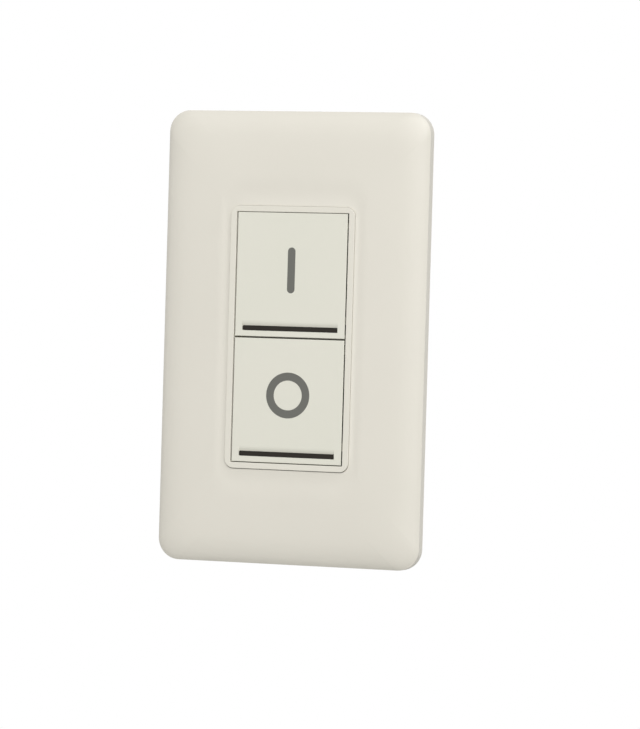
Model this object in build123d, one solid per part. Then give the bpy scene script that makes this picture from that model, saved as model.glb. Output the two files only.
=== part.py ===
# Lighting control keypad for a single wall box: two hinged push keys in a slim frame, under a
# screwless wall plate. X runs to the right, Z up and Y into the wall. The origin is on the wall,
# at the middle of the plate. A height is measured from the wall towards the user, so it is minus Y,
# and what lies inside the wall box has a negative height.
from build123d import *
import math
import os

# Wall plate
plate_width = 69.85
plate_height = 114.3
plate_corner = 5.5
plate_side = 2.65
plate_draft = 0.02
plate_front = 5.29
plate_wall = 2.0
roll_run = 8.7
roll_rise = 3.2
roll_start = 16
roll_end = 80
roll_step = 8
crown_steps = 5
opening_width = 33.2
opening_height = 66.5
opening_drop = 0.05
opening_corner = 2.45

# Front frame and keys
frame_width = 33.1
frame_height = 66.3
frame_corner = 2.4
frame_front = 5.6
window_width = 29.96
window_height = 63.3
window_draft = 8
window_ledge = 3.0
side_gap = 0.34
top_gap = 0.14
middle_gap = 0.42
bottom_gap = 0.22
key_width = window_width - 2 * side_gap
key_height = (window_height - top_gap - middle_gap - bottom_gap) / 2
key_front = 5.5
key_wall = 1.4
key_lip = 0.2
undercut = 0.7
skirt_wall = 1.2
skirt_side = 0.7
skirt_back = 3.2
edge_round = 0.15

# Hinge, stop and push point of a key
pin_radius = 0.8
pin_reach = 15.9
pin_height = 3.0
pin_drop = 3.0
lever = 16.0
running = 0.05
post_radius = 1.1
stop_rise = 4.5
stop_reach = 15.7
lug_front = key_front - key_wall - 0.2
lug_tall = 2.0
crossbar_front = 2.3
crossbar_tall = 2.6

# Light bar and mark of a key
bar_length = 25.5
bar_height = 1.28
bar_corner = 0.3
bar_rise = 2.09
bar_front = 5.1
scoop_rise = 4.0
on_rise = 16.8
off_rise = 17.05
mark_depth = 0.2
mark_gap = 0.01
stroke = 2.03
mark_length = 11.55

# Mounting yoke, with the spacings of a standard wall box
yoke_wall = 1.2
yoke_width = 43.0
yoke_middle = 70.0
yoke_height = 104.8
ear_width = 33.0
box_screw_spacing = 83.34
plate_screw_spacing = 96.84
yoke_window_width = 30.0
yoke_window_height = 62.0

# Sub-plate that carries the wall plate, and the plate's four snap legs
sub_wall = 1.2
sub_width = 58.0
sub_height = 104.4
sub_corner = 4.0
sub_room = 0.4
latch_x = 22.0
latch_z = 44.4
latch_width = 8.0
latch_wall = 1.2
latch_barb = 0.7

# Screws
box_screw_radius = 1.75
box_screw_neck = 1.35
box_screw_head = 3.45
box_screw_end = 24.0
plate_screw_radius = 1.7
plate_screw_head = 2.8
plate_screw_cone = 1.1
plate_screw_end = 6.6
cover_screw_radius = 1.2
cover_screw_head = 2.3
cover_screw_seat = 17.5

# Circuit board and switches
board_front = -3.0
board_wall = 1.6
board_back = board_front - board_wall
board_width = 38.6
board_height = 63.0
switch_side = 6.2
switch_top = 0.0
well_radius = 2.4
well_depth = 2.0
plunger_top = 2.0
plunger_radius = 1.7
collar_radius = 2.1
steel_sheet = 0.25
lamp_height = 1.1
chip_z = 8.0
chip_side = 7.0

# Rear cover
cover_width = 43.0
cover_height = 68.0
cover_depth = 20.5
cover_wall = 1.8
cover_draft = 1
cover_screw_x = 17.2
cover_screw_z = 29.8
column_radius = 3.0
post_x = 16.5
post_z = 16.0
shelf_height = -7.4
shelf_wall = 1.6

# Terminal block
poles = 4
pole_pitch = 5.0
block_width = poles * pole_pitch + 0.8
block_low = -32.8
block_high = -22.8
block_back = -18.0
cage_low = block_low + 0.8
cage_tall = 6.4
cage_middle = cage_low + cage_tall / 2
cage_back = block_back + 1.9
tail_z = block_high - 4.0

# The two keys are alike, one above the other.
key_bases = {
    "upper": window_height / 2 - top_gap - key_height,
    "lower": bottom_gap - window_height / 2,
}


def hinge_z(base):
    """The level of a key's hinge pins, just below its top edge."""
    return base + key_height - pin_drop


def switch_z(base):
    """The level of the switch that a key presses."""
    return hinge_z(base) - lever


def slab(outline, low, high):
    """A front-view outline, extruded from one height to another."""
    return extrude(Plane.XZ.offset(low) * outline, high - low)


def block(x, z, low, high, width, tall):
    """A rectangular block, centred on a point of the front view."""
    return slab(Pos(x, z) * Rectangle(width, tall), low, high)


def turned(profile, x=0.0, z=0.0):
    """Points of radius and height, turned about an axis square to the wall."""
    outline = make_face(Polyline([(radius, -height) for radius, height in profile], close=True))
    return Pos(x, 0, z) * revolve(outline, Axis.Y)


def rod(radius, x0, x1, height, z):
    """A round rod along X."""
    return extrude(Plane.YZ.offset(x0) * Pos(-height, z) * Circle(radius), x1 - x0)


def side_profile(points, x, width):
    """Points of level Z and height, extruded along X about the middle x."""
    outline = make_face(Polyline([(-height, z) for z, height in points], close=True))
    return extrude(Plane.YZ.offset(x - width / 2) * outline, width, dir=(1, 0, 0))


def front_edges(shape, height):
    """The edges that lie flat at one height."""
    return shape.edges().filter_by_position(Axis.Y, -height - 0.001, -height + 0.001)


def save(name, shape):
    """Write one piece, or a group of like pieces, to its own file."""
    solids = shape if isinstance(shape, list) else [shape]
    loose = [solid for piece in solids for solid in piece.solids()]
    whole = loose[0] if len(loose) == 1 else Compound(children=loose)
    export_step(whole, f"parts/{name}.step")


def roll_point(degrees):
    """Inset and height of the plate's rolled edge, a part of a flat ellipse in section."""
    start = math.radians(roll_start)
    angle = math.radians(degrees)
    inset = plate_draft + roll_run * (math.cos(start) - math.cos(angle))
    height = plate_side + roll_rise * (math.sin(angle) - math.sin(start))
    return inset, height


def front_sections():
    """Outlines of the plate's front: the rolled edge, and the slow crown that it runs into."""
    sections = []
    for degrees in range(roll_start, roll_end + 1, roll_step):
        inset, height = roll_point(degrees)
        sections.append((inset, inset, height))
    slope = roll_rise / roll_run / math.tan(math.radians(roll_end))
    rise = plate_front - height
    run_x = (plate_width - opening_width) / 2 - 0.2 - inset
    run_z = (plate_height - opening_height) / 2 - 0.2 - inset
    power_x = slope * run_x / rise
    power_z = slope * run_z / rise
    for step in range(1, crown_steps + 1):
        share = step / crown_steps
        left = (1 - share) ** power_x
        share_z = 1 - left ** (1 / power_z)
        sections.append((inset + share * run_x, inset + share_z * run_z, plate_front - left * rise))
    return sections


def rounded_at(x_inset, z_inset, height, corner=plate_corner):
    """The plate's outline, drawn in by the two insets, at one height."""
    outline = RectangleRounded(plate_width - 2 * x_inset, plate_height - 2 * z_inset, corner)
    return Plane.XZ.offset(height) * outline


def plate_latch(side, end):
    """A snap leg inside the plate, with a barb that catches behind the sub-plate."""
    outer = latch_z + latch_wall
    barb = outer + latch_barb
    catch = yoke_wall - running
    tip = 0.3
    root = 3.3
    points = [
        (latch_z, root),
        (latch_z, tip),
        (outer, tip),
        (barb, catch - 0.3),
        (barb, catch),
        (outer, catch),
        (outer, root),
    ]
    outline = [(end * z, height) for z, height in points]
    return side_profile(outline, side * latch_x, latch_width)


def wall_plate():
    """The screwless plate: one thin moulding with a soft pillowed front."""
    rim = loft(
        [rounded_at(0, 0, 0), rounded_at(plate_draft, plate_draft, plate_side)], ruled=True)
    front = loft([rounded_at(*section) for section in front_sections()])
    hollow_corner = plate_corner - plate_wall
    hollow = [
        (plate_wall, plate_wall, -1.0),
        (plate_wall, plate_wall, 1.2),
        (4.2, 4.2, 2.56),
        (8.5, 8.5, 2.95),
        (18.2, 23.8, 3.3),
    ]
    inside = loft([rounded_at(*section, hollow_corner) for section in hollow], ruled=True)
    opening = RectangleRounded(opening_width, opening_height, opening_corner)
    window = slab(Pos(0, -opening_drop) * opening, -1, plate_front + 1)
    plate = rim + front - inside
    for side in (-1, 1):
        for end in (-1, 1):
            plate += plate_latch(side, end)
    return plate - window


def sub_plate():
    """The flat adapter behind the wall plate, screwed to the yoke."""
    high = yoke_wall + sub_wall
    head_room = box_screw_head + 1.15
    latch_tall = latch_wall + latch_barb + 0.7
    latch_middle = latch_z + (latch_wall + latch_barb) / 2 - 0.05
    latch_hole = Rectangle(latch_width + 1, latch_tall)
    outline = RectangleRounded(sub_width, sub_height, sub_corner)
    outline -= RectangleRounded(
        opening_width + 2 * sub_room, opening_height + 2 * sub_room, opening_corner + sub_room)
    for end in (-1, 1):
        outline -= Pos(0, end * box_screw_spacing / 2) * Circle(head_room)
        for side in (-1, 1):
            outline -= Pos(side * latch_x, end * latch_middle) * latch_hole
    adapter = slab(outline, yoke_wall, high)
    for end in (-1, 1):
        adapter -= turned(screw_cone(high, running), z=end * plate_screw_spacing / 2)
    return adapter


def screw_cone(top, room):
    """The cone and hole that a flat plate-screw head sits in."""
    head = plate_screw_head + room
    neck = plate_screw_radius + room
    cone = top - plate_screw_cone
    return [(0, top + 1), (head, top + 1), (head, top), (neck, cone), (neck, -1), (0, -1)]


def cross_recess(top, x, z, size):
    """A cross recess in a screw head."""
    arm = 0.8
    depth = 0.9
    low, high = (top - depth, top + 0.1) if top > 0 else (top - 0.1, top + depth)
    cross = Rectangle(size, arm) + Rectangle(arm, size)
    return slab(Pos(x, z) * cross, low, high)


def plate_screws():
    """Two flat-head screws that hold the sub-plate to the yoke."""
    top = yoke_wall + sub_wall
    tip = 0.6
    profile = [
        (0, top),
        (plate_screw_head, top),
        (plate_screw_radius, top - plate_screw_cone),
        (plate_screw_radius, tip - plate_screw_end),
        (plate_screw_radius - 0.5, -plate_screw_end),
        (0, -plate_screw_end),
    ]
    screws = []
    for end in (-1, 1):
        z = end * plate_screw_spacing / 2
        screws.append(turned(profile, z=z) - cross_recess(top, 0, z, 3.0))
    return screws


def box_screws():
    """Two pan-head screws that go into the wall box, with a plain neck through the yoke."""
    top = yoke_wall + 1.6
    tip = 0.8
    profile = [
        (0, top),
        (box_screw_head - 1.05, top),
        (box_screw_head, top - 0.7),
        (box_screw_head, yoke_wall),
        (box_screw_neck, yoke_wall),
        (box_screw_neck, 0),
        (box_screw_radius, 0),
        (box_screw_radius, tip - box_screw_end),
        (box_screw_radius - 0.55, -box_screw_end),
        (0, -box_screw_end),
    ]
    screws = []
    for end in (-1, 1):
        z = end * box_screw_spacing / 2
        screws.append(turned(profile, z=z) - cross_recess(top, 0, z, 3.6))
    return screws


def yoke():
    """The stamped steel strap that everything is fixed to."""
    box_slot = SlotOverall(8.0, 4.0)
    plate_hole = Circle(plate_screw_radius + 0.1)
    cover_hole = Circle(cover_screw_radius + running)
    edge_notch = Circle(2.2)
    collar = Circle(2.6) - plate_hole
    collar_tall = 1.4
    outline = RectangleRounded(yoke_width, yoke_middle, 2)
    outline += RectangleRounded(ear_width, yoke_height, 3)
    outline -= Rectangle(yoke_window_width, yoke_window_height)
    for end in (-1, 1):
        outline -= Pos(0, end * box_screw_spacing / 2) * box_slot
        outline -= Pos(0, end * plate_screw_spacing / 2) * plate_hole
        for side in (-1, 1):
            outline -= Pos(side * cover_screw_x, end * cover_screw_z) * cover_hole
            outline -= Pos(side * ear_width / 2, end * box_screw_spacing / 2) * edge_notch
    strap = slab(outline, 0, yoke_wall)
    for end in (-1, 1):
        strap += slab(Pos(0, end * plate_screw_spacing / 2) * collar, -collar_tall, 0)
    return strap


def frame_hook(side, z):
    """A snap leg of the front frame that reaches through the yoke and catches behind it."""
    width = 4.6
    root = 2.35
    back = -0.03
    inner = 13.75
    outer = yoke_window_width / 2 - 0.15
    barb = outer + 0.7
    overlap = 15.1
    tip = back - 1.3
    points = [
        (inner, root),
        (overlap, root),
        (overlap, yoke_wall),
        (outer, yoke_wall),
        (outer, back),
        (barb, back),
        (barb, back - 0.4),
        (outer, tip),
        (inner, tip),
    ]
    outline = Polygon(*[(side * x, -height) for x, height in points], align=None)
    return extrude(Plane.XY.offset(z - width / 2) * outline, width, dir=(0, 0, 1))


def front_frame():
    """The slim frame round both keys, with their hinge bearings, stops and a crossbar."""
    outline = RectangleRounded(frame_width, frame_height, frame_corner)
    inset = (frame_front - window_ledge) * math.tan(math.radians(window_draft))
    ledge_half = window_width / 2 - inset
    front = Plane.XZ.offset(frame_front) * Rectangle(window_width, window_height)
    ledge = Plane.XZ.offset(window_ledge) * Rectangle(2 * ledge_half, window_height)
    frame = slab(outline, yoke_wall, frame_front) - loft([ledge, front])
    frame -= slab(Rectangle(2 * ledge_half, window_height), yoke_wall - 1, window_ledge)
    frame = fillet(front_edges(frame, frame_front), edge_round)
    crossbar_z = key_bases["upper"] - middle_gap / 2
    frame += block(0, crossbar_z, yoke_wall, crossbar_front, window_width, crossbar_tall)
    bearing = pin_radius + running
    throat = 1.4
    stop = lug_front + running
    pocket = stop_reach + 0.2 - ledge_half
    pocket_tall = lug_tall + 0.8
    for base in key_bases.values():
        for side in (-1, 1):
            x0, x1 = sorted((side * (ledge_half - 0.1), side * (pin_reach + 0.1)))
            frame -= rod(bearing, x0, x1, pin_height, hinge_z(base))
            middle = (x0 + x1) / 2
            frame -= block(middle, hinge_z(base), yoke_wall - 1, pin_height, x1 - x0, throat)
            place = side * (ledge_half + pocket / 2), base + stop_rise
            frame -= block(*place, yoke_wall - 1, stop, pocket + 0.1, pocket_tall)
    hook_levels = (22.0, 8.0, -10.0, -24.0)
    for z in hook_levels:
        for side in (-1, 1):
            frame += frame_hook(side, z)
    return frame


def scoop(base):
    """The finger-nail scoop above a key's light bar: a soft curve down to the bar's level."""
    low = base + bar_rise - bar_height / 2
    high = base + scoop_rise
    meet = base + bar_rise + bar_height / 2
    bend = Plane.YZ * TangentArc((-key_front, high), (-bar_front, meet), tangent=(0, -1))
    sides = Plane.YZ * Polyline(
        (-bar_front, meet),
        (-bar_front, low),
        (-key_front - 0.5, low),
        (-key_front - 0.5, high),
        (-key_front, high),
    )
    outline = make_face(bend.edges() + sides.edges())
    return Pos(-bar_length / 2, 0, 0) * extrude(outline, bar_length, dir=(1, 0, 0))


def key_back(base):
    """What a key carries behind its face: post, ribs, hinge ears and pins, and stop lugs."""
    inner = key_front - key_wall
    push = switch_z(base)
    push_end = plunger_top + running
    post = turned([(0, inner), (1.5, inner), (post_radius, push_end), (0, push_end)], z=push)
    rib = 0.8
    rib_back = inner - 0.9
    rib_low = base + bar_rise + bar_height
    rib_high = base + key_height - skirt_wall / 2
    long_rib = block(0, (rib_low + rib_high) / 2, rib_back, inner, rib, rib_high - rib_low)
    cross_rib = block(0, push, rib_back, inner, key_width - 2 * undercut - skirt_side, rib)
    pieces = [post, long_rib, cross_rib]
    wall_x = key_width / 2 - undercut - skirt_side / 2
    for side in (-1, 1):
        pieces.append(block(side * wall_x, hinge_z(base), 2.0, inner, skirt_side, 3.2))
        x0, x1 = sorted((side * wall_x, side * pin_reach))
        pieces.append(rod(pin_radius, x0, x1, pin_height, hinge_z(base)))
        lug = stop_reach - wall_x
        lug_x = side * (wall_x + lug / 2)
        pieces.append(block(lug_x, base + stop_rise, skirt_back, lug_front, lug, lug_tall))
    return pieces


def key_cap(base, recess):
    """One key: a flat cap with relieved sides, a skirt, a scoop, a bar slot and a mark recess."""
    place = Pos(0, base + key_height / 2)
    skirt_width = key_width - 2 * undercut
    face = place * Rectangle(key_width, key_height)
    skirt = place * Rectangle(skirt_width, key_height)
    hollow = place * Rectangle(skirt_width - 2 * skirt_side, key_height - 2 * skirt_wall)
    relief = key_front - key_lip - undercut
    cap = slab(face, key_front - key_lip, key_front)
    cap = fillet(front_edges(cap, key_front), edge_round)
    cap += loft([Plane.XZ.offset(key_front - key_lip) * face, Plane.XZ.offset(relief) * skirt])
    cap += slab(skirt, skirt_back, relief)
    cap -= slab(hollow, skirt_back - 1, key_front - key_wall)
    for piece in key_back(base):
        cap += piece
    cap -= scoop(base)
    slot = RectangleRounded(bar_length, bar_height, bar_corner)
    cap -= slab(Pos(0, base + bar_rise) * slot, key_front - key_wall - 0.1, key_front)
    return cap - slab(recess, key_front - mark_depth, key_front + 1)


def light_bar(base):
    """The smoked light bar, pushed into its slot from behind up to its flange."""
    inner = key_front - key_wall
    place = Pos(0, base + bar_rise)
    bar = RectangleRounded(bar_length - 2 * mark_gap, bar_height - 2 * mark_gap, bar_corner)
    flange = Rectangle(bar_length + 0.8, bar_height + 0.5)
    return slab(place * bar, inner, bar_front) + slab(place * flange, inner - 0.7, inner)


def on_outline(spare):
    """The upright stroke of the upper mark."""
    z = key_bases["upper"] + on_rise
    return Pos(0, z) * Rot(0, 0, 90) * SlotOverall(mark_length - 2 * spare, stroke - 2 * spare)


def off_outline(spare):
    """The ring of the lower mark."""
    z = key_bases["lower"] + off_rise
    outer = mark_length / 2
    ring = Circle(outer - spare) - Circle(outer - stroke + spare)
    return Pos(0, z) * ring


def mark(outline):
    """A mark, moulded flush into its key."""
    return slab(outline, key_front - mark_depth, key_front)


def light_guide(base):
    """A clear fan that spreads one lamp's light over the bar, on two legs on the board."""
    front = 2.4
    spread = 1.2
    entry = board_front + lamp_height + 0.2
    half = 12.3
    leg = 1.2
    right = [
        Polyline((0, front), (half, front), (half, board_front), (half - leg, board_front)),
        Line((half - leg, board_front), (half - leg, spread)),
        ThreePointArc((half - leg, spread), (6.0, 0.1), (2.0, entry)),
        Line((2.0, entry), (0, entry)),
    ]
    left = [mirror(piece, Plane.YZ) for piece in right]
    edges = [edge for piece in right + left for edge in piece.edges()]
    thick = 1.5
    fan = extrude(make_face(edges), thick)
    return Pos(0, 0, base + bar_rise - thick / 2) * Rot(180, 0, 0) * Pos(0, 0, -thick) * fan


def circuit_board():
    """The board, notched round the cover's screw columns, with holes for posts and tails."""
    outline = Rectangle(board_width, board_height)
    notch_x = board_width / 2 - (cover_screw_x - 3.3)
    notch_z = board_height / 2 - (cover_screw_z - 3.3)
    for side in (-1, 1):
        for end in (-1, 1):
            corner = Pos(
                side * (board_width / 2 - notch_x / 2), end * (board_height / 2 - notch_z / 2)
            )
            outline -= corner * Rectangle(notch_x, notch_z)
            outline -= Pos(side * post_x, end * post_z) * Circle(1.0)
    for x in pole_places():
        outline -= Pos(x, tail_z) * Circle(0.8)
    return slab(outline, board_back, board_front)


def pole_places():
    """The middle of each pole of the terminal block."""
    return [(pole - (poles - 1) / 2) * pole_pitch for pole in range(poles)]


def switch_body(z):
    """The square base of a tactile switch, with its round well."""
    base = block(0, z, board_front, switch_top, switch_side, switch_side)
    return base - slab(Pos(0, z) * Circle(well_radius), switch_top - well_depth, switch_top + 1)


def switch_cover(z):
    """The folded steel cover that clips over a switch base."""
    cover_tall = switch_side + 2 * steel_sheet
    tab_width = 3.6
    tab_drop = 1.6
    hole = Pos(0, z) * Circle(plunger_radius + 0.15)
    cover = block(0, z, switch_top, switch_top + steel_sheet, switch_side, cover_tall)
    for end in (-1, 1):
        tab_z = z + end * (switch_side + steel_sheet) / 2
        cover += block(0, tab_z, switch_top - tab_drop, switch_top, tab_width, steel_sheet)
    return cover - slab(hole, switch_top - 0.5, switch_top + 1)


def switch_plunger(z):
    """The plunger: a round stem with a collar under the cover."""
    collar = switch_top - running
    profile = [
        (0, plunger_top),
        (plunger_radius - 0.2, plunger_top),
        (plunger_radius, plunger_top - 0.2),
        (plunger_radius, collar),
        (collar_radius, collar),
        (collar_radius, collar - 0.7),
        (0, collar - 0.7),
    ]
    return turned(profile, z=z)


def switch_dome(z):
    """The sprung metal dome under a plunger, a shallow cap on the floor of the well."""
    foot = 2.0
    rise = 1.0
    sheet = 0.12
    radius = (foot**2 + rise**2) / (2 * rise)
    floor = switch_top - well_depth
    ball = Pos(0, -(floor + rise - radius), z)
    cap = ball * Sphere(radius) - ball * Sphere(radius - sheet)
    return cap & block(0, z, floor, floor + 2, 6, 6)


def switch_legs(z):
    """The four solder legs of a switch."""
    legs = []
    for side in (-1, 1):
        for end in (-1, 1):
            x = side * (switch_side / 2 + 0.6)
            legs.append(block(x, z + end * 2.25, board_front, board_front + 0.2, 1.2, 0.7))
    return legs


def status_lamp(base):
    """The small lamp behind a light guide."""
    return block(0, base + bar_rise, board_front, board_front + lamp_height, 3.0, 1.4)


def controller():
    """The controller chip on the back of the board."""
    return block(0, chip_z, board_back - 1.0, board_back, chip_side, chip_side)


def controller_legs():
    """The chip's solder legs, six a side and 1 mm apart."""
    count = 6
    reach = 1.0
    width = 0.4
    low = board_back - 0.3
    out = (chip_side + reach) / 2
    legs = []
    for place in range(count):
        along = place - (count - 1) / 2
        for side in (-1, 1):
            legs.append(block(side * out, chip_z + along, low, board_back, reach, width))
            legs.append(block(along, chip_z + side * out, low, board_back, width, reach))
    return legs


def board_chips():
    """Two rows of small resistors and capacitors, above and below the chip."""
    columns = 4
    pitch = 4.0
    away = 8.5
    chips = []
    for column in range(columns):
        x = (column - (columns - 1) / 2) * pitch
        for row in (-1, 1):
            chips.append(block(x, chip_z + row * away, board_back - 0.6, board_back, 1.2, 2.0))
    return chips


def storage_can():
    """The round storage capacitor beside the chip."""
    radius = 3.15
    far = board_back - 5.8
    bevel = 0.4
    profile = [
        (0, board_back),
        (radius, board_back),
        (radius, far + bevel),
        (radius - bevel, far),
        (0, far),
    ]
    return turned(profile, x=11, z=22)


def terminal_block():
    """The four-pole terminal block: cages enter from the board side, wires from below."""
    middle = (block_low + block_high) / 2
    tall = block_high - block_low
    housing = block(0, middle, block_back, board_back, block_width, tall)
    for x in pole_places():
        housing -= block(x, cage_middle, cage_back - 0.1, board_back + 1, 4.0, cage_tall + 0.2)
        housing -= slab(Pos(x, cage_middle) * Circle(2.1), block_back - 1, cage_back)
        housing -= block(x, block_low, cage_back + 1.3, cage_back + 5.3, 3.4, 3.0)
    return housing


def terminal_cage(x):
    """A brass cage open from below to above for the wire, with its solder tail."""
    front = cage_back + 6.2
    cage = block(x, cage_middle, cage_back, front, 3.8, cage_tall)
    cage -= block(x, cage_middle, cage_back + 1.3, front - 0.8, 2.6, cage_tall + 1)
    cage -= slab(Pos(x, cage_middle) * Circle(1.3), cage_back - 1, cage_back + 2)
    tail = block(x, tail_z, front - 0.2, board_front + 0.6, 0.9, 0.8)
    cage_high = cage_low + cage_tall
    foot = block(x, (cage_high + tail_z) / 2, front - 0.8, front, 0.9, tail_z - cage_high + 2.0)
    return cage + foot + tail


def terminal_screw(x):
    """A slotted clamping screw in its well."""
    head = cage_back - 0.05
    profile = [(0, head - 1.4), (1.9, head - 1.4), (1.9, head), (1.25, head)]
    profile += [(1.25, cage_back + 2.0), (0, cage_back + 2.0)]
    screw = turned(profile, x, cage_middle)
    slot = block(x, cage_middle, head - 1.5, head - 0.7, 4.0, 0.6)
    return screw - slot


def rear_cover():
    """The housing inside the wall box: shell, screw columns, board posts and terminal recess."""
    outer = RectangleRounded(cover_width, cover_height, 3)
    inner = RectangleRounded(cover_width - 2 * cover_wall, cover_height - 2 * cover_wall, 1.5)
    shell = extrude(Plane.XZ * outer, -cover_depth, taper=cover_draft)
    shell = fillet(front_edges(shell, -cover_depth), 1.2)
    hollow = extrude(Plane.XZ * inner, cover_wall - cover_depth, taper=cover_draft)
    cover = shell - hollow
    floor = -(cover_depth - cover_wall / 2)
    for side in (-1, 1):
        for end in (-1, 1):
            x = side * cover_screw_x
            z = end * cover_screw_z
            cover += slab(Pos(x, z) * Circle(column_radius), floor, 0)
            cover += board_post(side * post_x, end * post_z, floor)
    notch_width = block_width + 2.0
    notch_top = block_high + 1.0
    lowest = -cover_height / 2
    box_tall = notch_top + cover_wall - lowest - 0.9
    box_middle = lowest + 0.9 + box_tall / 2
    cover += block(0, box_middle, floor, shelf_height, notch_width + 2 * cover_wall, box_tall)
    notch_low = lowest - 3
    notch_middle = (notch_top + notch_low) / 2
    notch_tall = notch_top - notch_low
    shelf_back = shelf_height - shelf_wall
    cover -= block(0, notch_middle, -cover_depth - 1, shelf_back, notch_width, notch_tall)
    room = 0.4
    hole_middle = (block_low + block_high) / 2
    hole_tall = block_high - block_low + room
    cover -= block(0, hole_middle, shelf_back - shelf_wall, 0, block_width + room, hole_tall)
    for side in (-1, 1):
        for end in (-1, 1):
            place = Pos(side * cover_screw_x, end * cover_screw_z)
            cover -= slab(place * Circle(cover_screw_radius + 0.2), -cover_depth - 1, 1)
            well = place * Circle(cover_screw_head + 0.3)
            cover -= slab(well, -cover_depth - 1, -cover_screw_seat)
    return cover


def board_post(x, z, floor):
    """A post under the board, with a pin through it and a staked head on the far side."""
    profile = [
        (0, floor),
        (2.2, floor),
        (2.0, board_back),
        (0.95, board_back),
        (0.95, board_front),
        (1.7, board_front),
        (1.3, board_front + 0.6),
        (0, board_front + 0.6),
    ]
    return turned(profile, x, z)


def cover_screws():
    """Four pan-head screws from the rear, through the cover into the yoke."""
    tip = yoke_wall - 0.2
    seat = -cover_screw_seat
    top = seat - 1.8
    profile = [
        (0, tip),
        (cover_screw_radius, tip),
        (cover_screw_radius, seat),
        (cover_screw_head, seat),
        (cover_screw_head, top + 0.6),
        (cover_screw_head - 0.6, top),
        (0, top),
    ]
    screws = []
    for side in (-1, 1):
        for end in (-1, 1):
            x = side * cover_screw_x
            z = end * cover_screw_z
            screws.append(turned(profile, x, z) - cross_recess(top, x, z, 2.6))
    return screws


os.makedirs("parts", exist_ok=True)

save("wall_plate", wall_plate())
save("sub_plate", sub_plate())
save("plate_screws", plate_screws())
save("box_screws", box_screws())
save("yoke", yoke())
save("front_frame", front_frame())

recesses = {"upper": on_outline(0), "lower": off_outline(0)}
for name, base in key_bases.items():
    save(f"{name}_key", key_cap(base, recesses[name]))
    save(f"{name}_light_bar", light_bar(base))
    save(f"{name}_light_guide", light_guide(base))
    save(f"{name}_plunger", switch_plunger(switch_z(base)))
    save(f"{name}_dome", switch_dome(switch_z(base)))
save("on_mark", mark(on_outline(mark_gap)))
save("off_mark", mark(off_outline(mark_gap)))

bases = list(key_bases.values())
save("circuit_board", circuit_board())
save("switch_bodies", [switch_body(switch_z(base)) for base in bases])
save("switch_covers", [switch_cover(switch_z(base)) for base in bases])
save("switch_legs", [leg for base in bases for leg in switch_legs(switch_z(base))])
save("status_lamps", [status_lamp(base) for base in bases])
save("controller", controller())
save("controller_legs", controller_legs())
save("board_chips", board_chips())
save("storage_can", storage_can())

save("terminal_block", terminal_block())
save("terminal_cages", [terminal_cage(x) for x in pole_places()])
save("terminal_screws", [terminal_screw(x) for x in pole_places()])
save("rear_cover", rear_cover())
save("cover_screws", cover_screws())
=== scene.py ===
"""Looks for the lighting control keypad: finishes, screw threads, lamps, floor and camera."""

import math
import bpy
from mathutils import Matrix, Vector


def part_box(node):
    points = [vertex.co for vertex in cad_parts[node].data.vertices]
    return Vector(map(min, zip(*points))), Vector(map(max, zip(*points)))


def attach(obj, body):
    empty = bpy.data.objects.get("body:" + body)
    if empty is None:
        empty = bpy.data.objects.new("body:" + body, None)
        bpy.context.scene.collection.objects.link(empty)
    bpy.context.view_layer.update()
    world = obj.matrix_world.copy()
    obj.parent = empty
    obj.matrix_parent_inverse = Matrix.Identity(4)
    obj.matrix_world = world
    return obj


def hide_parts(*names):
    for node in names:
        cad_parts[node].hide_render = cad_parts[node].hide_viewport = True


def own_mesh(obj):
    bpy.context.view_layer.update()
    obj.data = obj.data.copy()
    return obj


bl_info = {
    "name": "Lighting Control Keypad",
    "version": (1, 0, 0),
    "blender": (4, 5, 0),
    "location": "3D View > Sidebar > Keypad",
    "description": "Dresses the lighting control keypad and sets it on a plain studio stage",
    "category": "Object",
}

import bmesh
import bpy
from bpy.props import FloatProperty, IntProperty, PointerProperty, StringProperty
from mathutils import Matrix, Vector

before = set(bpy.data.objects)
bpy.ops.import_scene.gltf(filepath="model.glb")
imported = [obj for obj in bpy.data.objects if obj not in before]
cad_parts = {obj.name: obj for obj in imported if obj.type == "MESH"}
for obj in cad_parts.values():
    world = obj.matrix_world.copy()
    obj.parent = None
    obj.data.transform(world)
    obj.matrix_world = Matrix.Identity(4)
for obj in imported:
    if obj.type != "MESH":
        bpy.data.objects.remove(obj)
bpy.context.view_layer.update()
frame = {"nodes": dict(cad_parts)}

MM = 0.001
SENSOR_MM = 36.0

# Noises and other patterns are spread from this range, which they seldom leave.
PATTERN_RANGE = {"From Min": 0.3, "From Max": 0.7}

# The Mix node's colour sockets share their names with other sockets, so they go by place.
MIX_FACTOR = 0
MIX_FIRST = 6
MIX_SECOND = 7
MIX_RESULT = 2


# Small helpers

def linear(code):
    """Turn an sRGB hex code into a linear colour with full opacity."""
    parts = [int(code[start:start + 2], 16) / 255 for start in (1, 3, 5)]
    bent = [c / 12.92 if c <= 0.04045 else ((c + 0.055) / 1.055) ** 2.4 for c in parts]
    return (*bent, 1.0)


def grain(size_mm):
    """The texture scale that gives one cell for each size_mm, because objects are in metres."""
    return 1 / (size_mm * MM)


def add_node(tree, kind, settings=None, sockets=None):
    """Add one shader node, set its properties, and fill or link its sockets."""
    node = tree.nodes.new(kind)
    for name, value in (settings or {}).items():
        setattr(node, name, value)
    for name, value in (sockets or {}).items():
        if isinstance(value, bpy.types.NodeSocket):
            tree.links.new(value, node.inputs[name])
        else:
            node.inputs[name].default_value = value
    return node


def new_material(name):
    """An empty node material and its output node."""
    material = bpy.data.materials.new(name)
    material.use_nodes = True
    material.node_tree.nodes.clear()
    output = add_node(material.node_tree, "ShaderNodeOutputMaterial")
    return material, material.node_tree, output


def dress(material, *nodes):
    """Give a material to CAD nodes, through their own material slots."""
    for name in nodes:
        piece = frame["nodes"][name]
        if not piece.material_slots:
            piece.data.materials.append(material)
        for held in piece.material_slots:
            held.material = material


# Moulded plastics

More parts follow.
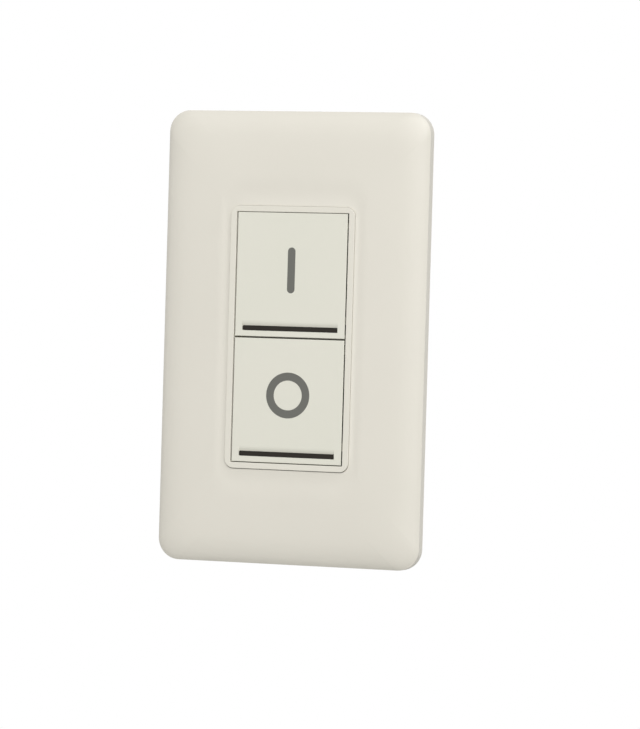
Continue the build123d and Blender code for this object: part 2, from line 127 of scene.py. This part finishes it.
def moulded_plastic(name, first, second, roughness, ior, texture_mm, texture_depth_mm):
    """A satin moulding: two close tones, a fine tool texture and a slightly uneven gloss."""
    # A real tool texture of about 0.1 mm wouldn't show, so texture_mm is coarser than that.
    drift_mm = 30.0
    gloss_spread = 0.03
    material, tree, output = new_material(name)
    place = add_node(tree, "ShaderNodeTexCoord").outputs["Object"]
    drift = add_node(tree, "ShaderNodeTexNoise", sockets={
        "Vector": place, "Scale": grain(drift_mm), "Detail": 2.0,
    })
    texture = add_node(tree, "ShaderNodeTexNoise", sockets={
        "Vector": place, "Scale": grain(texture_mm), "Detail": 4.0,
    })
    tone = add_node(tree, "ShaderNodeMapRange", sockets={
        "Value": drift.outputs["Fac"], **PATTERN_RANGE,
    })
    colour = add_node(tree, "ShaderNodeMix", {"data_type": "RGBA"}, {
        MIX_FACTOR: tone.outputs["Result"],
        MIX_FIRST: linear(first),
        MIX_SECOND: linear(second),
    })
    gloss = add_node(tree, "ShaderNodeMapRange", sockets={
        "Value": texture.outputs["Fac"], **PATTERN_RANGE,
        "To Min": roughness - gloss_spread, "To Max": roughness + gloss_spread,
    })
    relief = add_node(tree, "ShaderNodeBump", sockets={
        "Strength": 0.5, "Distance": texture_depth_mm * MM, "Height": texture.outputs["Fac"],
    })
    shader = add_node(tree, "ShaderNodeBsdfPrincipled", sockets={
        "Base Color": colour.outputs[MIX_RESULT],
        "Roughness": gloss.outputs["Result"],
        "IOR": ior,
        "Normal": relief.outputs["Normal"],
    })
    tree.links.new(shader.outputs["BSDF"], output.inputs["Surface"])
    return material


def satin_plate_moulding(colours):
    """Moulded polycarbonate from a lightly blasted tool: broad, soft highlights on the roll."""
    return moulded_plastic(
        "moulded polycarbonate, plate", colours.plate, colours.plate_light,
        roughness=0.46, ior=1.58, texture_mm=0.5, texture_depth_mm=0.004)


def satin_frame_moulding(colours):
    """Moulded ABS, a little glossier than the plate, so that its thin border stands out."""
    return moulded_plastic(
        "moulded ABS, frame", colours.frame, colours.plate_light,
        roughness=0.42, ior=1.53, texture_mm=0.5, texture_depth_mm=0.004)


def satin_key_moulding(colours):
    """Moulded polycarbonate for the keys: flat, even, and slightly greener than the plate."""
    return moulded_plastic(
        "moulded polycarbonate, keys", colours.key, colours.key_light,
        roughness=0.45, ior=1.58, texture_mm=0.5, texture_depth_mm=0.004)


def second_shot_grey(colours):
    """Grey second-shot ABS of the two marks: flush, dull and free of any outline."""
    return moulded_plastic(
        "moulded ABS, grey marks", colours.mark, colours.mark_dark,
        roughness=0.5, ior=1.53, texture_mm=0.4, texture_depth_mm=0.003)


def white_adapter_moulding():
    """Moulded ABS adapter: plain white, with the dull face of a part that nobody sees."""
    return moulded_plastic(
        "moulded ABS, adapter", "#DCDAD2", "#D6D3CA",
        roughness=0.55, ior=1.53, texture_mm=0.8, texture_depth_mm=0.008)


def dark_cover_moulding():
    """Flame-retardant moulded polycarbonate of the rear cover, with a coarse spark texture."""
    return moulded_plastic(
        "moulded polycarbonate, rear cover", "#2B2C2E", "#232426",
        roughness=0.52, ior=1.58, texture_mm=0.6, texture_depth_mm=0.03)


def green_terminal_moulding():
    """Moulded polyamide of the terminal block: the usual green, with a waxy sheen."""
    return moulded_plastic(
        "moulded polyamide, terminals", "#2F7A4B", "#286B42",
        roughness=0.4, ior=1.53, texture_mm=0.4, texture_depth_mm=0.006)


def black_switch_moulding():
    """Glass-filled polyamide of switches and controller: near black and slightly grained."""
    return moulded_plastic(
        "moulded polyamide, black", "#1C1C1D", "#242425",
        roughness=0.5, ior=1.53, texture_mm=0.3, texture_depth_mm=0.01)


def ivory_lamp_moulding():
    """Moulded epoxy lamp body: ivory, with a soft gloss."""
    return moulded_plastic(
        "moulded epoxy, lamps", "#F0ECD6", "#E8E2C8",
        roughness=0.3, ior=1.5, texture_mm=0.3, texture_depth_mm=0.003)


def smoked_bar_moulding(colours):
    """Bronze-smoked acrylic bar, moulded satin: a brown that is nearly black, with a weak shine."""
    material, tree, output = new_material("moulded acrylic, smoked")
    place = add_node(tree, "ShaderNodeTexCoord").outputs["Object"]
    haze = add_node(tree, "ShaderNodeTexNoise", sockets={
        "Vector": place, "Scale": grain(2.5), "Detail": 2.0,
    })
    tone = add_node(tree, "ShaderNodeMapRange", sockets={
        "Value": haze.outputs["Fac"], **PATTERN_RANGE,
    })
    colour = add_node(tree, "ShaderNodeMix", {"data_type": "RGBA"}, {
        MIX_FACTOR: tone.outputs["Result"],
        MIX_FIRST: linear(colours.bar),
        MIX_SECOND: linear(colours.bar_light),
    })
    gloss = add_node(tree, "ShaderNodeMapRange", sockets={
        "Value": haze.outputs["Fac"], **PATTERN_RANGE, "To Min": 0.3, "To Max": 0.4,
    })
    # The satin texture takes away part of the shine of plain acrylic.
    shader = add_node(tree, "ShaderNodeBsdfPrincipled", sockets={
        "Base Color": colour.outputs[MIX_RESULT],
        "Roughness": gloss.outputs["Result"],
        "IOR": 1.49,
        "Specular IOR Level": 0.36,
    })
    tree.links.new(shader.outputs["BSDF"], output.inputs["Surface"])
    return material


def clear_guide_moulding():
    """Clear moulded acrylic of the light guides, with faint flow marks."""
    material, tree, output = new_material("moulded acrylic, clear")
    place = add_node(tree, "ShaderNodeTexCoord").outputs["Object"]
    flow = add_node(tree, "ShaderNodeTexNoise", sockets={
        "Vector": place, "Scale": grain(3.0), "Detail": 2.0,
    })
    gloss = add_node(tree, "ShaderNodeMapRange", sockets={
        "Value": flow.outputs["Fac"], **PATTERN_RANGE, "To Min": 0.04, "To Max": 0.12,
    })
    relief = add_node(tree, "ShaderNodeBump", sockets={
        "Strength": 0.2, "Distance": 0.02 * MM, "Height": flow.outputs["Fac"],
    })
    shader = add_node(tree, "ShaderNodeBsdfPrincipled", sockets={
        "Base Color": linear("#F4F6F6"),
        "Roughness": gloss.outputs["Result"],
        "IOR": 1.49,
        "Transmission Weight": 0.9,
        "Normal": relief.outputs["Normal"],
    })
    tree.links.new(shader.outputs["BSDF"], output.inputs["Surface"])
    return material


# Metals, board and ceramics

def plated_metal(name, first, second, roughness, crystal_mm, depth_mm):
    """A plated or rolled metal: cells of slightly different tone, and wider patches of gloss."""
    smear_mm = 4 * crystal_mm
    gloss_spread = 0.06
    material, tree, output = new_material(name)
    place = add_node(tree, "ShaderNodeTexCoord").outputs["Object"]
    crystal = add_node(tree, "ShaderNodeTexVoronoi", sockets={
        "Vector": place, "Scale": grain(crystal_mm),
    })
    smear = add_node(tree, "ShaderNodeTexNoise", sockets={
        "Vector": place, "Scale": grain(smear_mm), "Detail": 2.0,
    })
    tone = add_node(tree, "ShaderNodeMapRange", sockets={
        "Value": crystal.outputs["Color"], **PATTERN_RANGE,
    })
    colour = add_node(tree, "ShaderNodeMix", {"data_type": "RGBA"}, {
        MIX_FACTOR: tone.outputs["Result"],
        MIX_FIRST: linear(first),
        MIX_SECOND: linear(second),
    })
    gloss = add_node(tree, "ShaderNodeMapRange", sockets={
        "Value": smear.outputs["Fac"], **PATTERN_RANGE,
        "To Min": roughness - gloss_spread, "To Max": roughness + gloss_spread,
    })
    relief = add_node(tree, "ShaderNodeBump", sockets={
        "Strength": 0.4, "Distance": depth_mm * MM, "Height": smear.outputs["Fac"],
    })
    shader = add_node(tree, "ShaderNodeBsdfPrincipled", sockets={
        "Base Color": colour.outputs[MIX_RESULT],
        "Metallic": 1.0,
        "Roughness": gloss.outputs["Result"],
        "Normal": relief.outputs["Normal"],
    })
    tree.links.new(shader.outputs["BSDF"], output.inputs["Surface"])
    return material


def galvanised_yoke_steel():
    """Hot-dip galvanised strip, stamped: a dull grey spangle of crystals about 2 mm across."""
    return plated_metal(
        "galvanised steel, yoke", "#B4B6B6", "#9EA1A2",
        roughness=0.38, crystal_mm=2.2, depth_mm=0.01)


def zinc_screw_steel():
    """Zinc-plated steel screws, tumbled bright: a cool, cloudy shine."""
    return plated_metal(
        "zinc-plated steel, screws", "#C6C8C9", "#ACAFB1",
        roughness=0.28, crystal_mm=0.7, depth_mm=0.004)


def rolled_spring_steel():
    """Rolled stainless spring strip of switch covers and domes: fine and bright."""
    return plated_metal(
        "rolled stainless steel", "#C9C8C4", "#B8B7B3",
        roughness=0.25, crystal_mm=0.4, depth_mm=0.002)


def tinned_brass_legs():
    """Tinned brass legs: pale, soft shine."""
    return plated_metal(
        "tinned brass, legs", "#CBCAC2", "#B9B7AC",
        roughness=0.3, crystal_mm=0.3, depth_mm=0.002)


def stamped_cage_brass():
    """Stamped brass cages of the terminals, left bare: yellow with dull patches."""
    return plated_metal(
        "stamped brass, cages", "#D6B765", "#BF9C4E",
        roughness=0.3, crystal_mm=0.8, depth_mm=0.004)


def drawn_can_aluminium():
    """Drawn aluminium can of the storage capacitor: bright and slightly clouded."""
    return plated_metal(
        "drawn aluminium, can", "#D3D5D8", "#C2C4C8",
        roughness=0.24, crystal_mm=0.6, depth_mm=0.003)


def masked_board_laminate():
    """Glass-epoxy laminate under green solder mask: glossy, with raised tracks 1 mm apart."""
    # At scale 1 the wave texture draws 20 / 2 pi bands to a unit.
    bands_to_a_unit = 20 / (2 * math.pi)
    material, tree, output = new_material("glass-epoxy laminate, solder mask")
    place = add_node(tree, "ShaderNodeTexCoord").outputs["Object"]
    tracks = add_node(tree, "ShaderNodeTexWave", {"bands_direction": "X"}, {
        "Vector": place, "Scale": grain(1.0) / bands_to_a_unit, "Distortion": 6.0, "Detail": 1.0,
    })
    tone = add_node(tree, "ShaderNodeMapRange", sockets={
        "Value": tracks.outputs["Fac"], **PATTERN_RANGE,
    })
    colour = add_node(tree, "ShaderNodeMix", {"data_type": "RGBA"}, {
        MIX_FACTOR: tone.outputs["Result"],
        MIX_FIRST: linear("#14532D"),
        MIX_SECOND: linear("#1F6B3C"),
    })
    relief = add_node(tree, "ShaderNodeBump", sockets={
        "Strength": 0.6, "Distance": 0.035 * MM, "Height": tracks.outputs["Fac"],
    })
    shader = add_node(tree, "ShaderNodeBsdfPrincipled", sockets={
        "Base Color": colour.outputs[MIX_RESULT],
        "Roughness": 0.28,
        "IOR": 1.55,
        "Normal": relief.outputs["Normal"],
    })
    tree.links.new(shader.outputs["BSDF"], output.inputs["Surface"])
    return material


def sintered_chip_ceramic():
    """Sintered ceramic chips: tan, chalky, with a fine grain."""
    return moulded_plastic(
        "sintered ceramic, chips", "#8D7355", "#7C6449",
        roughness=0.6, ior=1.7, texture_mm=0.2, texture_depth_mm=0.01)


# Settings

class KeypadViewSettings(bpy.types.PropertyGroup):
    """Where the camera stands, found from the edges of the plate and keys."""

    azimuth: FloatProperty(
        name="Azimuth", description="Angle round the keypad, to its right",
        default=math.radians(19.56), subtype="ANGLE")
    elevation: FloatProperty(
        name="Elevation", description="Angle above the level of the keypad",
        default=math.radians(0.86), subtype="ANGLE")
    roll: FloatProperty(
        name="Roll", description="Tilt of the camera about its own axis",
        default=math.radians(1.64), subtype="ANGLE")
    distance: FloatProperty(
        name="Distance", description="From the middle of the plate", default=0.985, unit="LENGTH")
    slide_right: FloatProperty(
        name="Slide Right", description="Camera's sideways slide", default=0.00587, unit="LENGTH")
    slide_down: FloatProperty(
        name="Slide Down", description="Camera's downward slide", default=0.006605, unit="LENGTH")
    lens: FloatProperty(
        name="Lens", description="Focal length in mm on a 36 mm sensor", default=192.64)


class KeypadStageSettings(bpy.types.PropertyGroup):
    """Floor, lamps and surroundings."""

    floor_drop: FloatProperty(
        name="Floor Drop", description="From the plate's middle down to the floor", default=0.16,
        unit="LENGTH")
    floor_radius: FloatProperty(
        name="Floor Radius", description="Radius of the round floor", default=2.0, unit="LENGTH")
    fade_start: FloatProperty(
        name="Fade Start", description="Where the floor starts to fade to white", default=0.34,
        unit="LENGTH")
    fade_end: FloatProperty(
        name="Fade End", description="Where the floor has faded to white", default=0.52,
        unit="LENGTH")
    floor_colour: StringProperty(
        name="Floor Colour", description="sRGB hex code", default="#E4E4E2")
    ambient: FloatProperty(
        name="Ambient", description="Strength of the white surroundings on the piece",
        default=0.45, min=0.0)
    lamp_power: FloatProperty(
        name="Lamp Power", description="Power of the main softbox", default=35.8, unit="POWER")
    lamp_azimuth: FloatProperty(
        name="Lamp Azimuth", description="Main softbox, to the right of straight ahead",
        default=math.radians(25), subtype="ANGLE")
    lamp_elevation: FloatProperty(
        name="Lamp Elevation", description="Main softbox above the keypad",
        default=math.radians(34), subtype="ANGLE")
    fill_power: FloatProperty(
        name="Fill Power", description="Power of the side softbox", default=2.2, unit="POWER")
    fill_azimuth: FloatProperty(
        name="Fill Azimuth", description="Side softbox, to the right of straight ahead",
        default=math.radians(88), subtype="ANGLE")
    fill_elevation: FloatProperty(
        name="Fill Elevation", description="Side softbox above the keypad",
        default=math.radians(20), subtype="ANGLE")
    softbox_side: FloatProperty(
        name="Softbox Side", description="Side of both softboxes", default=1.8, unit="LENGTH")
    softbox_distance: FloatProperty(
        name="Softbox Distance", description="From either softbox to the keypad", default=2.2,
        unit="LENGTH")


class KeypadColourSettings(bpy.types.PropertyGroup):
    """sRGB hex codes of the parts that show from the front."""

    plate: StringProperty(name="Plate", description="Wall plate", default="#DDD9CE")
    plate_light: StringProperty(
        name="Plate, Light", description="Lighter tone in the plate", default="#DFDBD0")
    frame: StringProperty(name="Frame", description="Front frame", default="#E0DDD1")
    key: StringProperty(name="Key", description="Both keys", default="#DDDCCF")
    key_light: StringProperty(
        name="Key, Light", description="Lighter tone in the keys", default="#DFDDD1")
    mark: StringProperty(name="Mark", description="Grey marks", default="#666660")
    mark_dark: StringProperty(
        name="Mark, Dark", description="Darker tone in the marks", default="#62625C")
    bar: StringProperty(name="Light Bar", description="Smoked bars", default="#150F03")
    bar_light: StringProperty(
        name="Light Bar, Light", description="Lighter haze in the bars", default="#191206")


class KeypadThreadSettings(bpy.types.PropertyGroup):
    """The threads of the box and plate screws, which are a standard 6-32."""

    pitch: FloatProperty(
        name="Pitch", description="From thread to thread", default=0.794 * MM, unit="LENGTH")
    depth: FloatProperty(
        name="Depth", description="From crest to root", default=0.36 * MM, unit="LENGTH")
    box_screw_radius: FloatProperty(
        name="Box Screw Radius", description="To the crest, for the screws into the wall box",
        default=1.75 * MM, unit="LENGTH")
    plate_screw_radius: FloatProperty(
        name="Plate Screw Radius", description="To the crest, for the screws of the sub-plate",
        default=1.7 * MM, unit="LENGTH")
    around: IntProperty(name="Around", description="Points round a screw", default=24, min=8)
    along: IntProperty(name="Along", description="Points along one pitch", default=8, min=4)


# Screw threads

def thread_depth(turn):
    """How far below the crest a thread lies, from 0 to 1, at a share of one turn."""
    flat_share = 0.18
    away = abs((turn % 1.0) - 0.5) * 2
    return min(1.0, max(0.0, (away - flat_share) / (1 - 2 * flat_share)))


def threaded_rod(work, z, start, end, crest, settings):
    """Add a closed rod with a helical thread, along Y between two places, narrower at its tip."""
    tip = 0.8 * MM
    tip_narrowing = 0.3
    rows = round((end - start) / settings.pitch * settings.along)
    rings = []
    for row in range(rows + 1):
        y = start + (end - start) * row / rows
        narrow = max(0.0, (y - (end - tip)) / tip) * tip_narrowing * crest
        ring = []
        for column in range(settings.around):
            share = column / settings.around
            sunk = thread_depth(y / settings.pitch + share) * settings.depth
            reach = min(crest - sunk, crest - narrow)
            angle = 2 * math.pi * share
            point = (reach * math.cos(angle), y, z + reach * math.sin(angle))
            ring.append(work.verts.new(point))
        rings.append(ring)
    for near, far in zip(rings, rings[1:]):
        for column in range(settings.around):
            after = (column + 1) % settings.around
            work.faces.new((near[column], near[after], far[after], far[column]))
    work.faces.new(rings[0])
    work.faces.new(reversed(rings[-1]))


def screw_head(work, node, cut):
    """Copy the heads and necks of a node's screws, up to a place along Y, and close them."""
    weld = 0.001 * MM
    copied = bmesh.new()
    copied.from_mesh(frame["nodes"][node].data)
    bmesh.ops.remove_doubles(copied, verts=copied.verts, dist=weld)
    halves = bmesh.ops.bisect_plane(
        copied, geom=[*copied.verts, *copied.edges, *copied.faces],
        plane_co=(0, cut, 0), plane_no=(0, 1, 0), clear_outer=True)
    rim = [part for part in halves["geom_cut"] if isinstance(part, bmesh.types.BMEdge)]
    bmesh.ops.holes_fill(copied, edges=rim)
    heads = bpy.data.meshes.new("heads")
    copied.to_mesh(heads)
    copied.free()
    work.from_mesh(heads)
    bpy.data.meshes.remove(heads)


def threaded_screws(name, node, crest, material, settings):
    """A pair of screws, one above the other, with the heads of a CAD node and real threads."""
    low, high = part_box(node)
    neck_end = 0.0
    overlap = 0.1 * MM
    head_half = (high.x - low.x) / 2
    work = bmesh.new()
    screw_head(work, node, neck_end)
    for z in (low.z + head_half, high.z - head_half):
        threaded_rod(work, z, neck_end - overlap, high.y, crest, settings)
    bmesh.ops.recalc_face_normals(work, faces=work.faces)
    mesh = bpy.data.meshes.new(name)
    work.to_mesh(mesh)
    work.free()
    mesh.materials.append(material)
    piece = bpy.data.objects.new(name, mesh)
    bpy.context.scene.collection.objects.link(piece)
    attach(piece, "base")
    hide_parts(node)


# Snap domes

def snap_dome(side, material):
    """A snap dome in the shape of its CAD node."""
    node = f"{side}_dome"
    mesh = frame["nodes"][node].data.copy()
    mesh.materials.clear()
    mesh.materials.append(material)
    dome = bpy.data.objects.new(f"{side}_snap_dome", mesh)
    bpy.context.scene.collection.objects.link(dome)
    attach(dome, "base")
    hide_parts(node)
    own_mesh(dome)


# Camera and stage

def sight_axes(view):
    """The camera's right, up and back axes, with its roll."""
    side = Vector((math.cos(view.azimuth), math.sin(view.azimuth), 0))
    back = Vector((
        math.sin(view.azimuth) * math.cos(view.elevation),
        -math.cos(view.azimuth) * math.cos(view.elevation),
        math.sin(view.elevation),
    ))
    up = back.cross(side)
    right = math.cos(view.roll) * side + math.sin(view.roll) * up
    top = math.cos(view.roll) * up - math.sin(view.roll) * side
    return right, top, back


def fading_floor_paint(settings):
    """Matt floor paint that fades to white away from the keypad; near it, it takes the shadow."""
    material, tree, output = new_material("matt floor paint")
    place = add_node(tree, "ShaderNodeTexCoord").outputs["Object"]
    reach = add_node(tree, "ShaderNodeVectorMath", {"operation": "LENGTH"}, {"Vector": place})
    fade = add_node(tree, "ShaderNodeMapRange", {"interpolation_type": "SMOOTHSTEP"}, {
        "Value": reach.outputs["Value"],
        "From Min": settings.fade_start, "From Max": settings.fade_end,
    })
    both = add_node(tree, "ShaderNodeMath", {"operation": "MULTIPLY"})
    tree.links.new(fade.outputs["Result"], both.inputs[0])
    tree.links.new(seen_directly(tree), both.inputs[1])
    paint = add_node(tree, "ShaderNodeBsdfDiffuse", sockets={
        "Color": linear(settings.floor_colour), "Roughness": 0.5,
    })
    white = add_node(tree, "ShaderNodeEmission", sockets={"Strength": 1.0})
    mix = add_node(tree, "ShaderNodeMixShader", sockets={0: both.outputs["Value"]})
    tree.links.new(paint.outputs["BSDF"], mix.inputs[1])
    tree.links.new(white.outputs["Emission"], mix.inputs[2])
    tree.links.new(mix.outputs["Shader"], output.inputs["Surface"])
    return material


def seen_directly(tree):
    """1 for camera, glossy and transmission rays, and 0 for the diffuse light on the piece."""
    rays = add_node(tree, "ShaderNodeLightPath").outputs
    shine = add_node(tree, "ShaderNodeMath", {"operation": "MAXIMUM"}, {
        0: rays["Is Glossy Ray"], 1: rays["Is Transmission Ray"],
    })
    return add_node(tree, "ShaderNodeMath", {"operation": "MAXIMUM"}, {
        0: rays["Is Camera Ray"], 1: shine.outputs["Value"],
    }).outputs["Value"]


def white_surroundings(ambient):
    """A white world: strength 1 where it is seen or mirrored, and softer where it lights."""
    world = bpy.data.worlds.new("white surroundings")
    world.use_nodes = True
    tree = world.node_tree
    tree.nodes.clear()
    output = add_node(tree, "ShaderNodeOutputWorld")
    soft = add_node(tree, "ShaderNodeBackground", sockets={"Strength": ambient})
    white = add_node(tree, "ShaderNodeBackground", sockets={"Strength": 1.0})
    for light in (soft, white):
        light.inputs["Color"].default_value = (1, 1, 1, 1)
    mix = add_node(tree, "ShaderNodeMixShader", sockets={0: seen_directly(tree)})
    tree.links.new(soft.outputs["Background"], mix.inputs[1])
    tree.links.new(white.outputs["Background"], mix.inputs[2])
    tree.links.new(mix.outputs["Shader"], output.inputs["Surface"])
    bpy.context.scene.world = world


def disc_floor(settings):
    """A round floor below the keypad."""
    work = bmesh.new()
    bmesh.ops.create_circle(work, cap_ends=True, segments=96, radius=settings.floor_radius)
    mesh = bpy.data.meshes.new("floor")
    work.to_mesh(mesh)
    work.free()
    mesh.materials.append(fading_floor_paint(settings))
    floor = bpy.data.objects.new("floor", mesh)
    floor.location.z = -settings.floor_drop
    bpy.context.scene.collection.objects.link(floor)


def softbox(name, azimuth, elevation, power, settings):
    """A square softbox on a sphere round the keypad, facing its middle."""
    light = bpy.data.lights.new(name, "AREA")
    light.size = settings.softbox_side
    light.energy = power
    lamp = bpy.data.objects.new(name, light)
    lamp.location = settings.softbox_distance * Vector((
        math.sin(azimuth) * math.cos(elevation),
        -math.cos(azimuth) * math.cos(elevation),
        math.sin(elevation),
    ))
    lamp.rotation_euler = lamp.location.to_track_quat("Z", "Y").to_euler()
    bpy.context.scene.collection.objects.link(lamp)


# Operators

class KEYPAD_OT_camera(bpy.types.Operator):
    """Place the camera where the reference view was taken"""

    bl_idname = "keypad.camera"
    bl_label = "Place Camera"

    def execute(self, context):
        view = context.scene.keypad_view
        right, top, back = sight_axes(view)
        lens = bpy.data.cameras.new("camera")
        lens.sensor_width = SENSOR_MM
        lens.lens = view.lens
        lens.clip_start = 0.01
        camera = bpy.data.objects.new("camera", lens)
        place = back * view.distance + right * view.slide_right - top * view.slide_down
        turn = Matrix((right, top, back)).transposed().to_4x4()
        camera.matrix_world = Matrix.Translation(place) @ turn
        context.scene.collection.objects.link(camera)
        context.scene.camera = camera
        return {"FINISHED"}


class KEYPAD_OT_stage(bpy.types.Operator):
    """Make the floor, both softboxes and the white surroundings"""

    bl_idname = "keypad.stage"
    bl_label = "Build Stage"

    def execute(self, context):
        settings = context.scene.keypad_stage
        context.scene.view_settings.view_transform = "Standard"
        white_surroundings(settings.ambient)
        disc_floor(settings)
        softbox(
            "main softbox", settings.lamp_azimuth, settings.lamp_elevation, settings.lamp_power,
            settings)
        softbox(
            "side softbox", settings.fill_azimuth, settings.fill_elevation, settings.fill_power,
            settings)
        return {"FINISHED"}


class KEYPAD_OT_front(bpy.types.Operator):
    """Finish the wall plate, the front frame, the keys and their marks and bars"""

    bl_idname = "keypad.front"
    bl_label = "Finish Front"

    def execute(self, context):
        colours = context.scene.keypad_colours
        dress(satin_plate_moulding(colours), "wall_plate")
        dress(satin_frame_moulding(colours), "front_frame")
        dress(satin_key_moulding(colours), "upper_key", "lower_key")
        dress(second_shot_grey(colours), "on_mark", "off_mark")
        dress(smoked_bar_moulding(colours), "upper_light_bar", "lower_light_bar")
        return {"FINISHED"}


class KEYPAD_OT_back(bpy.types.Operator):
    """Finish the yoke, the adapter, the rear cover and the terminals"""

    bl_idname = "keypad.back"
    bl_label = "Finish Back"

    def execute(self, context):
        dress(galvanised_yoke_steel(), "yoke")
        dress(white_adapter_moulding(), "sub_plate")
        dress(dark_cover_moulding(), "rear_cover")
        dress(green_terminal_moulding(), "terminal_block")
        dress(stamped_cage_brass(), "terminal_cages")
        return {"FINISHED"}


class KEYPAD_OT_inside(bpy.types.Operator):
    """Finish the board, the switches with their snap domes, the lamps and the light guides"""

    bl_idname = "keypad.inside"
    bl_label = "Finish Inside"

    def execute(self, context):
        dress(masked_board_laminate(), "circuit_board")
        dress(
            black_switch_moulding(), "switch_bodies", "upper_plunger", "lower_plunger", "controller")
        spring_steel = rolled_spring_steel()
        dress(spring_steel, "switch_covers")
        for side in ("upper", "lower"):
            snap_dome(side, spring_steel)
        dress(tinned_brass_legs(), "switch_legs", "controller_legs")
        dress(ivory_lamp_moulding(), "status_lamps")
        dress(clear_guide_moulding(), "upper_light_guide", "lower_light_guide")
        dress(sintered_chip_ceramic(), "board_chips")
        dress(drawn_can_aluminium(), "storage_can")
        return {"FINISHED"}


class KEYPAD_OT_screws(bpy.types.Operator):
    """Cut real threads on the screws that show from behind, and finish all screws"""

    bl_idname = "keypad.screws"
    bl_label = "Cut Screw Threads"

    def execute(self, context):
        settings = context.scene.keypad_thread
        steel = zinc_screw_steel()
        dress(steel, "cover_screws", "terminal_screws")
        threaded_screws(
            "threaded_box_screws", "box_screws", settings.box_screw_radius, steel, settings)
        threaded_screws(
            "threaded_plate_screws", "plate_screws", settings.plate_screw_radius, steel, settings)
        return {"FINISHED"}


class KEYPAD_PT_panel(bpy.types.Panel):
    """Steps that dress the keypad, in order"""

    bl_label = "Keypad"
    bl_idname = "KEYPAD_PT_panel"
    bl_space_type = "VIEW_3D"
    bl_region_type = "UI"
    bl_category = "Keypad"

    def draw(self, context):
        for step in steps:
            self.layout.operator(step.bl_idname)
        for group in ("keypad_view", "keypad_stage", "keypad_colours", "keypad_thread"):
            settings = getattr(context.scene, group)
            for name in settings.__annotations__:
                self.layout.prop(settings, name)


steps = (
    KEYPAD_OT_camera, KEYPAD_OT_stage, KEYPAD_OT_front, KEYPAD_OT_back, KEYPAD_OT_inside,
    KEYPAD_OT_screws,
)
groups = {
    "keypad_view": KeypadViewSettings,
    "keypad_stage": KeypadStageSettings,
    "keypad_colours": KeypadColourSettings,
    "keypad_thread": KeypadThreadSettings,
}


def register():
    """Register every class and hang the settings on the scene."""
    for name, group in groups.items():
        bpy.utils.register_class(group)
        setattr(bpy.types.Scene, name, PointerProperty(type=group))
    for step in (*steps, KEYPAD_PT_panel):
        bpy.utils.register_class(step)


def unregister():
    """Take the classes and settings away again."""
    for step in reversed((*steps, KEYPAD_PT_panel)):
        bpy.utils.unregister_class(step)
    for name, group in reversed(groups.items()):
        delattr(bpy.types.Scene, name)
        bpy.utils.unregister_class(group)


def main():
    """Run every step in order."""
    register()
    bpy.ops.keypad.camera()
    bpy.ops.keypad.stage()
    bpy.ops.keypad.front()
    bpy.ops.keypad.back()
    bpy.ops.keypad.inside()
    bpy.ops.keypad.screws()


if __name__ == "__main__":
    main()
